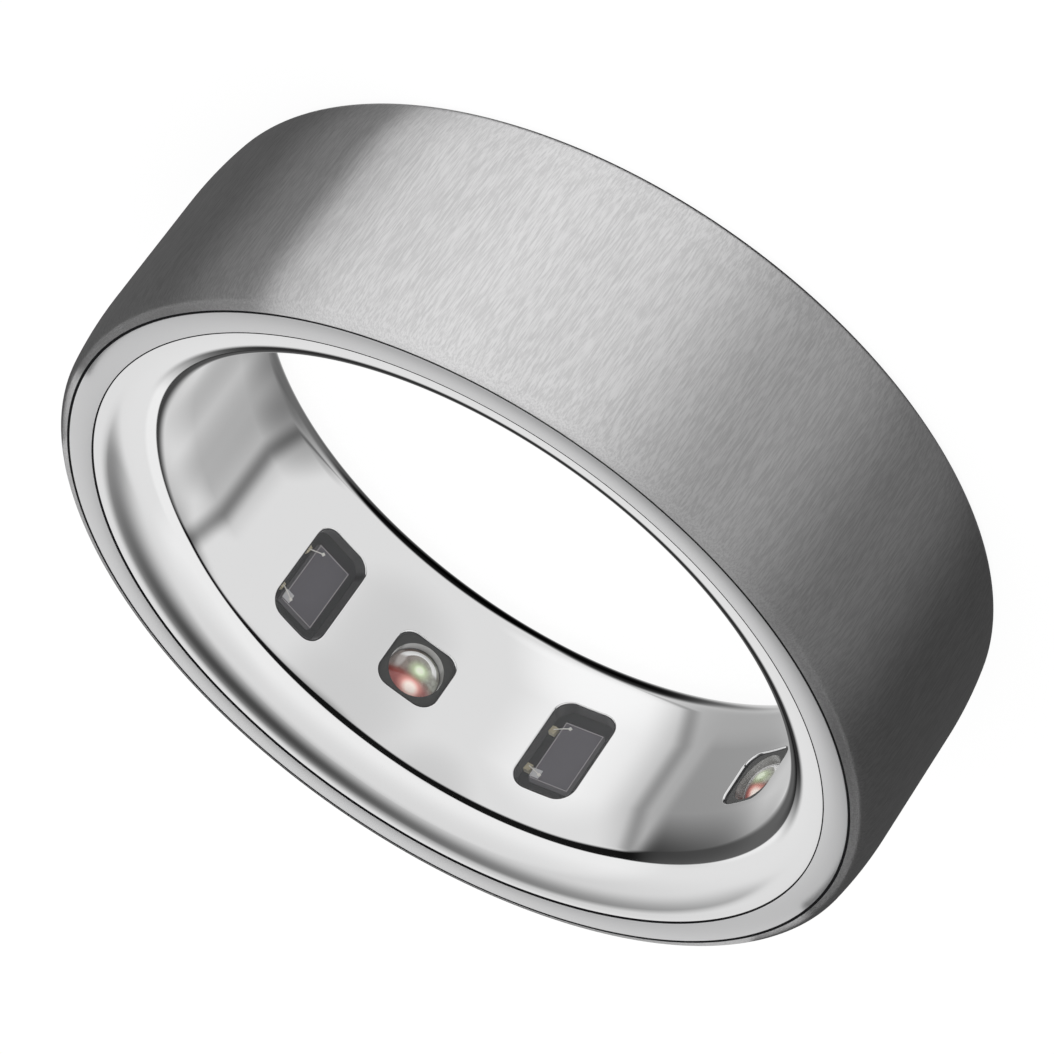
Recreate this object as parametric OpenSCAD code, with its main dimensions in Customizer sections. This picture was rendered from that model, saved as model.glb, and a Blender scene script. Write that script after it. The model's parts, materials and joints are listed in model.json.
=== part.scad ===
// Smart ring: brushed outer shell, polished bore liner, sensor windows and the electronics between them.
// Millimetres. The ring lies on its lower face, its axis is +Z, and its main light window faces +Y.

/* [Ring] */
// Width of the ring along its axis
ring_w = 7.9; // [7:0.1:9]
// Largest outer radius, across the middle of the brushed shell
outer_r = 12.9; // [12.7:0.05:13.2]
// Wall of the whole ring at mid width, from the brushed face to the bore
wall_t = 3; // [2.9:0.05:3.2]

/* [Outer shell] */
// Wall of the brushed shell at mid width
shell_wall = 0.55; // [0.4:0.05:0.6]
// Length of the straight band across the middle of the brushed shell
shell_band_l = 3.8; // [2:0.1:4.6]
// Radius of the soft shoulder beside the band
shell_shoulder_r = 10; // [7:0.5:16]
// Radius of the rounded rim at each end
shell_rim_r = 0.4; // [0.2:0.05:0.6]

/* [Bore liner] */
// Length of the straight stretch in the middle of the bore
bore_flat_l = 2.5; // [2:0.1:2.8]
// Radius of the crown that runs from the straight stretch outwards
bore_crown_r = 12; // [10:0.5:16]
// Radius of the corner that turns the crown into the lip
bore_corner_r = 1.4; // [1.2:0.05:1.5]
// Slope of the lip from the end face, in degrees
lip_slope = 9.2; // [6:0.1:12]
// How far the lip's outer edge lies below the end face
lip_drop = 0.03; // [0:0.01:0.06]
// Wall of the liner behind the windows
liner_wall = 0.45; // [0.35:0.05:0.5]
// Thickness of the flange that carries each edge ring
flange_t = 0.37; // [0.25:0.01:0.5]
// Length of the bevel behind each flange, along the axis
flange_bevel = 0.55; // [0.3:0.05:0.7]

/* [Edge rings and seams] */
// Thickness of the flat ring that closes each end
edge_ring_t = 0.5; // [0.3:0.05:0.6]
// Width of the flat ring, from its hole to its rim
edge_ring_w = 0.72; // [0.6:0.02:0.9]
// Width of the seam between the edge ring and the brushed shell
outer_seam = 0.05; // [0.03:0.01:0.08]
// Width of the seam between the edge ring and the polished lip
inner_seam = 0.035; // [0.02:0.005:0.06]
// Depth of each seam's groove below the end face
seam_depth = 0.05; // [0.02:0.01:0.1]
// Thickness of the adhesive under the edge ring
ring_glue_t = 0.03; // [0.02:0.01:0.06]
// Gap between the flange's edge and the brushed shell, filled by the seam bead
flange_gap = 0.1; // [0.06:0.01:0.2]
// Bevel along the edges of the edge ring
edge_break = 0.03; // [0.01:0.01:0.05]

/* [Sensor windows] */
// Width of every window around the bore
window_w = 2.03; // [1.8:0.01:2.2]
// Length of a photodiode window along the axis
photo_window_l = 3.3; // [2.8:0.1:3.6]
// Length of a light window along the axis
light_window_l = 2; // [1.8:0.1:2.2]
// Corner radius of the photodiode windows
photo_corner_r = 0.56; // [0.2:0.02:0.6]
// Corner radius of the light windows
light_corner_r = 0.52; // [0.2:0.02:0.6]
// Angle from the first light window to the second, in degrees
light_angle = 71.5; // [65:0.5:80]
// Angle from the first light window back to the first photodiode, in degrees
photo_angle_back = 22.2; // [20:0.1:24]
// Angle from the first light window on to the second photodiode, in degrees
photo_angle_on = 29.3; // [26:0.1:34]
// Fitting gap around each pane, lens and chip
fit_gap = 0.02; // [0.01:0.01:0.04]

/* [Photodiodes] */
// Thickness of the resin pane over a photodiode
pane_t = 0.2; // [0.15:0.01:0.25]
// Width of a photodiode die around the bore
photo_die_w = 1.29; // [1:0.05:1.4]
// Length of a photodiode die along the axis
photo_die_l = 2.22; // [1.8:0.05:2.5]
// Thickness of a photodiode die
photo_die_t = 0.22; // [0.15:0.01:0.25]
// Room for the wires between the pane and the die
wire_room = 0.09; // [0.07:0.01:0.12]
// Thickness of a bond wire
wire_d = 0.035; // [0.025:0.005:0.05]
// Width of a gold pad
gold_pad_w = 0.2; // [0.12:0.01:0.22]

/* [Light sources] */
// Diameter of the clear lens
lens_d = 1.66; // [1.4:0.02:1.76]
// Height of the lens dome
lens_dome_h = 0.36; // [0.2:0.02:0.4]
// Depth of the lens top below the bore
lens_recess = 0.03; // [0.02:0.01:0.1]
// Depth of the dark bezel around the lens below the bore
bezel_recess = 0.1; // [0.06:0.01:0.14]
// Width of the light package
package_w = 1.8; // [1.5:0.05:1.95]
// Width of one emitter die
emitter_w = 0.26; // [0.2:0.02:0.3]
// Thickness of one emitter die
emitter_t = 0.1; // [0.08:0.01:0.14]

/* [Circuit] */
// Gap between the liner and the flexible circuit, which the light barriers fill
flex_gap = 0.47; // [0.43:0.01:0.51]
// Thickness of the flexible circuit
flex_t = 0.12; // [0.08:0.01:0.16]
// Angle where the flexible circuit starts, in degrees
flex_from_angle = 34; // [32:1:38]
// Angle where the flexible circuit ends, in degrees
flex_to_angle = 220; // [210:1:222]

/* [Battery] */
// Angle that the curved cell spans, in degrees
cell_span_angle = 166; // [150:1:168]
// Thickness of the curved cell
cell_t = 1.5; // [1.2:0.05:1.52]
// Gap between the liner and the curved cell
cell_gap = 0.07; // [0.05:0.01:0.15]

/* [Charging coil] */
// Turns of the charging coil
coil_turns = 7; // [4:1:8]
// Width of the coil conductor along the axis
coil_trace_w = 0.35; // [0.2:0.05:0.4]
// Thickness of the coil conductor
coil_trace_t = 0.14; // [0.08:0.01:0.16]
// Thickness of the ferrite sleeve under the coil
ferrite_t = 0.1; // [0.06:0.01:0.12]

/* [Hidden] */
$fn = 96;
arc_steps = 14;
corner_steps = 5;
cut_over = 0.5;

mid_z = ring_w / 2;
bore_r = outer_r - wall_t;
shell_in_r = outer_r - shell_wall;
liner_out_r = bore_r + liner_wall;
ring_out_r = shell_in_r - outer_seam;
ring_in_r = ring_out_r - edge_ring_w;
lip_r = ring_in_r - inner_seam;
flange_r = shell_in_r - flange_gap;
flange_z = edge_ring_t + ring_glue_t;
cavity_z = flange_z + flange_t;

first_light_angle = 90;
light_angles = [first_light_angle, first_light_angle + light_angle];
photo_angles = [first_light_angle - photo_angle_back, first_light_angle + photo_angle_on];

die_top_r = bore_r + pane_t + wire_room;
carrier_top_r = die_top_r + photo_die_t;
pane_back_r = bore_r + pane_t;
pane_half_angle = 9;
pane_fn = 360;
photo_die_shift = 0.03;
gold_pad_t = 0.03;
gold_pad_y = 0.84;
gold_pad_z = 0.72;
wire_end_y = 0.37;
wire_end_z = 0.92;
bond_pad_w = 0.26;
bond_pad_t = 0.015;
bond_pad_in = 0.02;
bond_pad_z = 0.84;
wire_drop = 0.02;

lens_top_r = bore_r + lens_recess;
lens_base_r = lens_top_r + lens_dome_h;
lens_foot = 0.12;
lens_ball_r = (pow(lens_d / 2, 2) + pow(lens_dome_h, 2)) / (2 * lens_dome_h);
bezel_top_r = bore_r + bezel_recess;
package_top_r = lens_base_r + lens_foot + emitter_t + fit_gap;
green_place = [0.12, -0.27];
red_place = [0.14, 0.31];
infrared_place = [-0.36, 0.04];

barrier_wall = 0.32;
flex_r = liner_out_r + flex_gap;
flex_out_r = flex_r + flex_t;
pot_l = 0.35;
stack_z = cavity_z + pot_l;
stack_h = ring_w - 2 * stack_z;
cell_end_angle = flex_from_angle - 4;
cell_r = liner_out_r + cell_gap;
cell_z = cavity_z + flange_bevel - (cell_r - liner_out_r) + 2 * fit_gap;
cell_wrap = 0.06;
ferrite_r = cell_r + cell_t + cell_wrap;
coil_r = ferrite_r + ferrite_t + fit_gap;
tab_t = 0.08;
tab_w = 0.8;
tab_z = 1.35;
tab_span_angle = 13;
board_t = 0.5;
board_h = 4.6;
board_span_angle = 7;
chip_gap = 0.02;
seat_r = flex_out_r + chip_gap;
main_chip_angle = 104;
main_chip_size = [3.2, 3.2, 0.6];
front_end_chip_angle = 78;
front_end_chip_size = [2.6, 2.6, 0.5];
power_chip_angle = 135;
power_chip_size = [2.2, 2.2, 0.5];
memory_chip_angle = 58;
memory_chip_size = [2, 2.4, 0.5];
motion_chip_angle = 151;
motion_chip_size = [2.5, 2, 0.65];
crystal_angle = 120;
crystal_size = [1.2, 1.6, 0.4];
temp_angles = [45, 140];
temp_w = 0.9;
temp_l = 0.5;
temp_t = 0.3;
antenna_t = 0.05;
antenna_w = 0.35;
antenna_from_angle = 160;
antenna_to_angle = 214;
cap_w = 0.6;
cap_l = 0.32;
cap_t = 0.32;
cap_rows = [-1.5, -0.7, 0.1, 0.9];
cap_from_angle = 165;
cap_pitch_angle = 6;
cap_count = 8;
jumper_angle = 4;
jumper_in_angle = 0.3;
jumper_in = 0.02;

// Points along an arc in the plane of a profile, from angle a0 to angle a1.
function arc(c, r, a0, a1, n) = [
    for (i = [0:n])
        let (a = a0 + (a1 - a0) * i / n)
            c + r * [cos(a), sin(a)]
];

// A profile's points mirrored about mid width, in reverse order.
function mirrored(points) = [for (i = [len(points) - 1:-1:0]) [points[i][0], ring_w - points[i][1]]];

// Brushed shell outline: rim, soft shoulder, straight band. The rim and the shoulder meet on one tangent.
shoulder_c = [outer_r - shell_shoulder_r, (ring_w - shell_band_l) / 2];
rim_c = [
    shoulder_c[0] + sqrt(pow(shell_shoulder_r - shell_rim_r, 2) - pow(shoulder_c[1] - shell_rim_r, 2)),
    shell_rim_r
];
rim_turn = atan((shoulder_c[1] - rim_c[1]) / (rim_c[0] - shoulder_c[0]));
shell_edge = concat(
    arc(rim_c, shell_rim_r, -90, -rim_turn, arc_steps),
    [for (i = [1:arc_steps]) arc(shoulder_c, shell_shoulder_r, -rim_turn, 0, arc_steps)[i]]
);

// Bore outline: straight stretch, crown, corner, lip. The corner is tangent to the crown and to the lip.
crown_c = [bore_r + bore_crown_r, (ring_w - bore_flat_l) / 2];
lip_point = [lip_r, lip_drop];
lip_way = [-cos(lip_slope), sin(lip_slope)];
corner_base = lip_point + bore_corner_r * [sin(lip_slope), cos(lip_slope)];
corner_off = corner_base - crown_c;
corner_reach = bore_crown_r - bore_corner_r;
corner_along = -(corner_off * lip_way)
    + sqrt(pow(corner_off * lip_way, 2) - corner_off * corner_off + pow(corner_reach, 2));
corner_c = corner_base + corner_along * lip_way;
crown_turn = atan((crown_c[1] - corner_c[1]) / (crown_c[0] - corner_c[0]));
bore_edge = concat(
    [lip_point],
    arc(corner_c, bore_corner_r, 270 - lip_slope, 180 + crown_turn, arc_steps),
    [for (i = [1:arc_steps]) arc(crown_c, bore_crown_r, 180 + crown_turn, 180, arc_steps)[i]]
);

// The crown alone, closed behind the panes.
crown_edge = concat(
    [[pane_back_r + cut_over, corner_c[1]]],
    arc(crown_c, bore_crown_r, 180 + crown_turn, 180, arc_steps)
);

// A rectangle with round corners, centred.
function round_box(w, l, r) = [
    for (k = [0:3]) each arc(
        [(k == 0 || k == 3 ? 1 : -1) * (w / 2 - r), (k < 2 ? 1 : -1) * (l / 2 - r)],
        r, 90 * k, 90 * k + 90, corner_steps
    )
];

// A straight prism pointing out from the axis at an angle: w around the ring, l along the axis.
module radial_prism(angle, w, l, r, from_r, to_r) {
    rotate([0, 0, angle])
        translate([from_r, 0, mid_z])
            rotate([90, 0, 90])
                linear_extrude(to_r - from_r)
                    polygon(round_box(w, l, r));
}

// A block on a flat seat: from_r outwards, w around the ring, l along the axis, moved by y and z.
module radial_block(angle, w, l, from_r, t, y = 0, z = 0) {
    rotate([0, 0, angle])
        translate([from_r, y - w / 2, mid_z + z - l / 2])
            cube([t, w, l]);
}

// A curved bar of rectangular section.
module sector(from_angle, to_angle, r0, r1, z0, h) {
    rotate([0, 0, from_angle])
        rotate_extrude(angle = to_angle - from_angle)
            translate([r0, z0])
                square([r1 - r0, h]);
}

module outer_shell() {
    color([0.72, 0.72, 0.73])
        difference() {
            rotate_extrude()
                polygon(concat(
                    [[shell_in_r - cut_over, 0]],
                    shell_edge,
                    mirrored(shell_edge),
                    [[shell_in_r - cut_over, ring_w]]
                ));
            translate([0, 0, -cut_over])
                cylinder(r = shell_in_r, h = ring_w + 2 * cut_over);
        }
}

// The liner is a spool: the domed bore, a polished lip at each end and a flange under each edge ring.
module liner_body() {
    back = [
        [lip_r, flange_z],
        [flange_r, flange_z],
        [flange_r, cavity_z],
        [liner_out_r + flange_bevel, cavity_z],
        [liner_out_r, cavity_z + flange_bevel]
    ];
    front = [for (i = [len(bore_edge) - 1:-1:0]) bore_edge[i]];
    half = concat(front, back);
    rotate_extrude()
        polygon(concat(half, mirrored(half)));
}

module window_cut(a, l, r) {
    radial_prism(a, window_w, l, r, bore_r - cut_over, liner_out_r + cut_over);
}

module inner_shell() {
    color([0.86, 0.86, 0.87])
        difference() {
            liner_body();
            for (a = photo_angles)
                window_cut(a, photo_window_l, photo_corner_r);
            for (a = light_angles)
                window_cut(a, light_window_l, light_corner_r);
        }
}

// Puts a piece made for the lower end at the upper end.
module at_upper_end() {
    translate([0, 0, ring_w])
        mirror([0, 0, 1])
            children();
}

// Flat ring with broken edges, its face on z = 0.
module edge_ring() {
    rotate_extrude()
        polygon([
            [ring_in_r + edge_break, 0],
            [ring_out_r - edge_break, 0],
            [ring_out_r, edge_break],
            [ring_out_r, edge_ring_t],
            [ring_in_r, edge_ring_t],
            [ring_in_r, edge_break]
        ]);
}

module lower_edge_ring() {
    color([0.78, 0.78, 0.79])
        edge_ring();
}

module upper_edge_ring() {
    color([0.78, 0.78, 0.79])
        at_upper_end()
            edge_ring();
}

// Bead between the edge ring, the flange and the brushed shell.
module seam_bead() {
    rotate_extrude()
        polygon([
            [ring_out_r, seam_depth],
            [shell_in_r, seam_depth],
            [shell_in_r, cavity_z],
            [flange_r, cavity_z],
            [flange_r, flange_z],
            [ring_out_r, flange_z]
        ]);
}

module lower_seam_bead() {
    color([0.05, 0.05, 0.05])
        seam_bead();
}

module upper_seam_bead() {
    color([0.05, 0.05, 0.05])
        at_upper_end()
            seam_bead();
}

// Adhesive under the edge ring, which also fills the seam beside the lip.
module ring_glue() {
    rotate_extrude()
        polygon([
            [lip_r, seam_depth],
            [ring_in_r, seam_depth],
            [ring_in_r, edge_ring_t],
            [ring_out_r, edge_ring_t],
            [ring_out_r, flange_z],
            [lip_r, flange_z]
        ]);
}

module lower_ring_glue() {
    color([0.1, 0.1, 0.1])
        ring_glue();
}

module upper_ring_glue() {
    color([0.1, 0.1, 0.1])
        at_upper_end()
            ring_glue();
}

// Resin that ties the stack to the flange, shaped by the liner's bevel.
module potting() {
    pot_end_z = stack_z - fit_gap;
    bevel_r = liner_out_r + flange_bevel - (pot_end_z - cavity_z);
    rotate_extrude()
        polygon([
            [liner_out_r + flange_bevel + fit_gap, cavity_z],
            [shell_in_r - fit_gap, cavity_z],
            [shell_in_r - fit_gap, pot_end_z],
            [bevel_r + fit_gap, pot_end_z]
        ]);
}

module lower_potting() {
    color([0.3, 0.3, 0.32])
        potting();
}

module upper_potting() {
    color([0.3, 0.3, 0.32])
        at_upper_end()
            potting();
}

// Resin pane flush with the bore over a photodiode.
module photodiode_pane(a) {
    color([0.2, 0.2, 0.22, 0.6])
        intersection() {
            radial_prism(
                a, window_w - 2 * fit_gap, photo_window_l - 2 * fit_gap, photo_corner_r - fit_gap,
                bore_r - cut_over, pane_back_r
            );
            rotate([0, 0, a - pane_half_angle])
                rotate_extrude(angle = 2 * pane_half_angle, $fn = pane_fn)
                    polygon(concat(crown_edge, mirrored(crown_edge)));
        }
}

// Silicon die with the metal pad that one wire lands on.
module photodiode_die(a) {
    color([0.35, 0.35, 0.4]) {
        radial_block(a, photo_die_w, photo_die_l, die_top_r, photo_die_t, photo_die_shift);
        radial_block(
            a, bond_pad_w, bond_pad_w, die_top_r - bond_pad_t,
            bond_pad_t + bond_pad_in, -wire_end_y, bond_pad_z
        );
    }
}

// Carrier that lifts the die from the flexible circuit into the window.
module photodiode_carrier(a) {
    foot_r = sqrt(pow(flex_r, 2) - pow(window_w / 2, 2));
    color([0.2, 0.2, 0.21])
        radial_block(
            a, window_w - 2 * fit_gap, photo_window_l - 2 * fit_gap, carrier_top_r,
            foot_r - carrier_top_r - fit_gap
        );
}

// One wire from its gold pad on the carrier up to the die, in three straight runs.
module bond_wire(side) {
    start = [carrier_top_r - gold_pad_t, -gold_pad_y, side * gold_pad_z];
    top = [die_top_r - wire_drop - wire_d, -gold_pad_y, side * gold_pad_z];
    over = [die_top_r - bond_pad_t - wire_d / 2, -wire_end_y, side * wire_end_z];
    bar_l = norm(over - top);
    lean = atan2(over[2] - top[2], over[1] - top[1]);
    translate([top[0] - wire_d / 2, top[1] - wire_d / 2, top[2] - wire_d / 2])
        cube([start[0] - top[0] + wire_d / 2, wire_d, wire_d]);
    translate([top[0], top[1], top[2]])
        rotate([lean, 0, 0])
            translate([-wire_d / 2, 0, -wire_d / 2])
                cube([wire_d, bar_l, wire_d]);
}

// Gold pads, wires and the light bond pad on the die's corner.
module bond_wires(a) {
    color([0.83, 0.68, 0.4])
        rotate([0, 0, a])
            translate([0, 0, mid_z])
                for (side = [-1, 1]) {
                    bond_wire(side);
                    translate([carrier_top_r - gold_pad_t, -gold_pad_y, side * gold_pad_z])
                        translate([0, -gold_pad_w / 2, -gold_pad_w / 2])
                            cube([gold_pad_t, gold_pad_w, gold_pad_w]);
                }
}

// Clear lens: a dome on a round foot.
module led_lens(a) {
    color([0.9, 0.92, 0.92, 0.5])
        rotate([0, 0, a])
            translate([0, 0, mid_z])
                rotate([0, 90, 0]) {
                    intersection() {
                        translate([0, 0, lens_top_r + lens_ball_r])
                            sphere(r = lens_ball_r);
                        translate([0, 0, lens_top_r - cut_over])
                            cylinder(d = lens_d, h = lens_dome_h + cut_over);
                    }
                    translate([0, 0, lens_base_r])
                        cylinder(d = lens_d, h = lens_foot);
                }
}

// Dark plate that fills the window around the lens.
module led_bezel(a) {
    color([0.22, 0.22, 0.23])
        difference() {
            radial_prism(
                a, window_w - 2 * fit_gap, light_window_l - 2 * fit_gap, light_corner_r - fit_gap,
                bezel_top_r, lens_base_r + lens_foot
            );
            rotate([0, 0, a])
                translate([bezel_top_r - cut_over, 0, mid_z])
                    rotate([0, 90, 0])
                        cylinder(d = lens_d + 2 * fit_gap, h = liner_wall + 2 * cut_over);
        }
}

module led_package(a) {
    foot_r = sqrt(pow(flex_r, 2) - pow(package_w / 2, 2));
    color([0.3, 0.3, 0.31])
        radial_block(a, package_w, package_w, package_top_r, foot_r - package_top_r - fit_gap);
}

module emitter(a, place) {
    radial_block(a, emitter_w, emitter_w, package_top_r - emitter_t, emitter_t, place[0], place[1]);
}

module green_emitter(a) {
    color([0.4, 0.8, 0.3])
        emitter(a, green_place);
}

module red_emitter(a) {
    color([0.9, 0.3, 0.25])
        emitter(a, red_place);
}

module infrared_emitter(a) {
    color([0.3, 0.2, 0.3])
        emitter(a, infrared_place);
}

// Curved frame that keeps stray light between a window and the circuit.
module light_barrier(a, l) {
    half_angle = (window_w / 2 + barrier_wall) / liner_out_r * 180 / PI;
    color([0.08, 0.08, 0.08])
        difference() {
            sector(
                a - half_angle, a + half_angle, liner_out_r + fit_gap, flex_r - fit_gap,
                mid_z - l / 2 - barrier_wall, l + 2 * barrier_wall
            );
            radial_prism(a, window_w, l, fit_gap, bore_r, flex_r + cut_over);
        }
}

module flex_circuit() {
    color([0.75, 0.5, 0.15])
        sector(flex_from_angle, flex_to_angle, flex_r, flex_out_r, stack_z, stack_h);
}

module chip(a, size) {
    radial_block(a, size[0], size[1], seat_r, size[2]);
}

module main_chip() {
    color([0.1, 0.1, 0.11])
        chip(main_chip_angle, main_chip_size);
}

module front_end_chip() {
    color([0.12, 0.12, 0.13])
        chip(front_end_chip_angle, front_end_chip_size);
}

module power_chip() {
    color([0.11, 0.11, 0.12])
        chip(power_chip_angle, power_chip_size);
}

module memory_chip() {
    color([0.13, 0.13, 0.14])
        chip(memory_chip_angle, memory_chip_size);
}

module motion_chip() {
    color([0.2, 0.2, 0.2])
        chip(motion_chip_angle, motion_chip_size);
}

module crystal() {
    color([0.75, 0.75, 0.7])
        chip(crystal_angle, crystal_size);
}

module capacitors() {
    color([0.6, 0.5, 0.4])
        for (i = [0:cap_count - 1], z = cap_rows)
            radial_block(cap_from_angle + i * cap_pitch_angle, cap_w, cap_l, seat_r, cap_t, 0, z);
}

module temperature_sensor(a) {
    foot_r = sqrt(pow(flex_r, 2) - pow(temp_w / 2, 2)) - fit_gap;
    color([0.15, 0.15, 0.16])
        radial_block(a, temp_w, temp_l, foot_r - temp_t, temp_t);
}

module antenna() {
    color([0.8, 0.6, 0.3])
        sector(
            antenna_from_angle, antenna_to_angle, seat_r, seat_r + antenna_t,
            ring_w - stack_z - 2 * antenna_w, antenna_w
        );
}

module battery_cell() {
    color([0.7, 0.72, 0.75])
        sector(
            cell_end_angle - cell_span_angle, cell_end_angle,
            cell_r, cell_r + cell_t, cell_z, ring_w - 2 * cell_z
        );
}

// Two strips from the cell's end onto the flexible circuit.
module battery_tabs() {
    color([0.8, 0.8, 0.78])
        for (side = [-1, 1])
            sector(
                cell_end_angle, cell_end_angle + tab_span_angle, seat_r, seat_r + tab_t,
                mid_z + side * tab_z - tab_w / 2, tab_w
            );
}

module battery_board() {
    board_r = seat_r + tab_t + fit_gap;
    color([0.1, 0.35, 0.2])
        sector(
            cell_end_angle, cell_end_angle + board_span_angle,
            board_r, board_r + board_t, mid_z - board_h / 2, board_h
        );
}

// One unbroken flat winding: each turn stops short of a full circle, and a jumper lifts it to the next.
module charging_coil() {
    pitch = (stack_h - coil_trace_w) / (coil_turns - 1);
    turn_angle = 360 - 2 * jumper_angle;
    color([0.8, 0.45, 0.25])
        for (i = [0:coil_turns - 1]) {
            start_angle = -3 * jumper_angle * i;
            end_angle = start_angle + turn_angle;
            turn_z = stack_z + i * pitch;
            sector(start_angle, end_angle, coil_r, coil_r + coil_trace_t, turn_z, coil_trace_w);
            if (i < coil_turns - 1)
                sector(
                    end_angle - jumper_angle + jumper_in_angle, end_angle - jumper_in_angle,
                    coil_r + jumper_in, coil_r + coil_trace_t - jumper_in,
                    turn_z + jumper_in, pitch + coil_trace_w - 2 * jumper_in
                );
        }
}

module ferrite_sleeve() {
    color([0.25, 0.24, 0.24])
        difference() {
            translate([0, 0, stack_z])
                cylinder(r = ferrite_r + ferrite_t, h = stack_h);
            translate([0, 0, stack_z - cut_over])
                cylinder(r = ferrite_r, h = stack_h + 2 * cut_over);
        }
}

outer_shell();
inner_shell();
upper_edge_ring();
lower_edge_ring();
upper_seam_bead();
lower_seam_bead();
upper_ring_glue();
lower_ring_glue();
photodiode_pane(photo_angles[0]);  // photodiode_pane_1
photodiode_pane(photo_angles[1]);  // photodiode_pane_2
photodiode_die(photo_angles[0]);  // photodiode_die_1
photodiode_die(photo_angles[1]);  // photodiode_die_2
photodiode_carrier(photo_angles[0]);  // photodiode_carrier_1
photodiode_carrier(photo_angles[1]);  // photodiode_carrier_2
bond_wires(photo_angles[0]);  // bond_wires_1
bond_wires(photo_angles[1]);  // bond_wires_2
led_lens(light_angles[0]);  // led_lens_1
led_lens(light_angles[1]);  // led_lens_2
led_bezel(light_angles[0]);  // led_bezel_1
led_bezel(light_angles[1]);  // led_bezel_2
led_package(light_angles[0]);  // led_package_1
led_package(light_angles[1]);  // led_package_2
green_emitter(light_angles[0]);  // green_emitter_1
green_emitter(light_angles[1]);  // green_emitter_2
red_emitter(light_angles[0]);  // red_emitter_1
red_emitter(light_angles[1]);  // red_emitter_2
infrared_emitter(light_angles[0]);  // infrared_emitter_1
infrared_emitter(light_angles[1]);  // infrared_emitter_2
light_barrier(photo_angles[0], photo_window_l);  // light_barrier_1
light_barrier(light_angles[0], light_window_l);  // light_barrier_2
light_barrier(photo_angles[1], photo_window_l);  // light_barrier_3
light_barrier(light_angles[1], light_window_l);  // light_barrier_4
flex_circuit();
main_chip();
front_end_chip();
power_chip();
memory_chip();
motion_chip();
crystal();
capacitors();
temperature_sensor(temp_angles[0]);  // temperature_sensor_1
temperature_sensor(temp_angles[1]);  // temperature_sensor_2
antenna();
battery_cell();
battery_tabs();
battery_board();
charging_coil();
ferrite_sleeve();
upper_potting();
lower_potting();
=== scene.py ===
"""The smart ring as in the photo: metal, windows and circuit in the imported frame, studio and camera."""

import json
import math

import bmesh
import bpy
from mathutils import Matrix, Vector
from mathutils.geometry import delaunay_2d_cdt

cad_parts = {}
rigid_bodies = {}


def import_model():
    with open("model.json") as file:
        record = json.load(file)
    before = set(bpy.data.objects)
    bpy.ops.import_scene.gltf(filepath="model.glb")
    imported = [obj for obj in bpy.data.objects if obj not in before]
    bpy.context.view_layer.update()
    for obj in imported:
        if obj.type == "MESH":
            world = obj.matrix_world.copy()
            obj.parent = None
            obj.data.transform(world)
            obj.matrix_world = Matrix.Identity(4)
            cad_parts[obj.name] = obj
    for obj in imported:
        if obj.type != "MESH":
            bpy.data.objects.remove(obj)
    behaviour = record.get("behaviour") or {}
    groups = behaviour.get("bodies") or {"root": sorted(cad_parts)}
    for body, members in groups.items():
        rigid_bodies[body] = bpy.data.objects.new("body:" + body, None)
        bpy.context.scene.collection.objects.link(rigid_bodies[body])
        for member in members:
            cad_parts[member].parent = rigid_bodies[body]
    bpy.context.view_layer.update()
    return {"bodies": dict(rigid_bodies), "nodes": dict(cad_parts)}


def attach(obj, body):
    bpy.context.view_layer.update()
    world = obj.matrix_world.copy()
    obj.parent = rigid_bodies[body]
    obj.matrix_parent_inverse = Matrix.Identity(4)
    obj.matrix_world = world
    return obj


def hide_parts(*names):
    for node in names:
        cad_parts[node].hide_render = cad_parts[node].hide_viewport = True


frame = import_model()
BODY = next(iter(frame["bodies"]))

# ---- sizes, in millimetres and degrees: as in the construction, with the trim that only this script has ----
MM = 0.001
STEPS = 480
SHARP = 30.0
RING_W = 7.9
MID = RING_W / 2
OUTER_R = 12.9
BORE_R = 9.9
SHELL_IN_R = 12.35
SHELL_BAND = 3.8
SHOULDER_R = 10.0
RIM_R = 0.4
BORE_FLAT = 2.5
CROWN_R = 12.0
CORNER_R = 1.4
LIP_SLOPE = 9.2
LIP_R = 11.545
LIP_DROP = 0.03
LIP_TURN = 9.2
LIP_ARC_R = 2.4
LINER_OUT_R = 10.35
FLANGE_R = 12.25
RING_OUT_R = 12.3
RING_IN_R = 11.58
EDGE_T = 0.5
EDGE_R = 0.01
SEAM_EXTRA = 0.03
RIM_STEEP = 64.0
FLANGE_Z = 0.53
CAVITY_Z = 0.9
FLANGE_BEVEL = 0.55
SEAM_DEPTH = 0.004
WINDOW_W = 2.03
PHOTO_L = 3.3
LIGHT_L = 2.0
PHOTO_CORNER = 0.56
LIGHT_CORNER = 0.52
SEAL_T = 0.04
LIGHTS = {1: 90.0, 2: 161.5}
PHOTOS = {1: 67.8, 2: 119.3}
WINDOW_BEVEL = 0.03
BEVEL_STEPS = 6
PANE_T = 0.2
DIE_TOP_R = 10.19
DIE_Y = (-0.615, 0.675)
DIE_Z = (-1.11, 1.11)
LINE_X = (DIE_TOP_R - 0.004, DIE_TOP_R + 0.001)
LINE_Y = (-0.595, 0.655)
LINE_Z = (-1.09, 1.09)
LINE_T = 0.02
CARRIER_R = 10.41
PAD_R = CARRIER_R - 0.17
STUD_R = CARRIER_R - 0.2
WIRE_R = 0.017
LENS_R = 0.83
LENS_TOP = 9.93
DOME_H = 0.36
LENS_FOOT = 0.12
LENS_STEPS = 96
DOME_STEPS = 24
CORE_DROP = 0.03
CORE_SHARE = 0.97
BEZEL_R = 9.96
CUP_DROP = 0.012
CUP_R = LENS_R + 0.018


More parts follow.
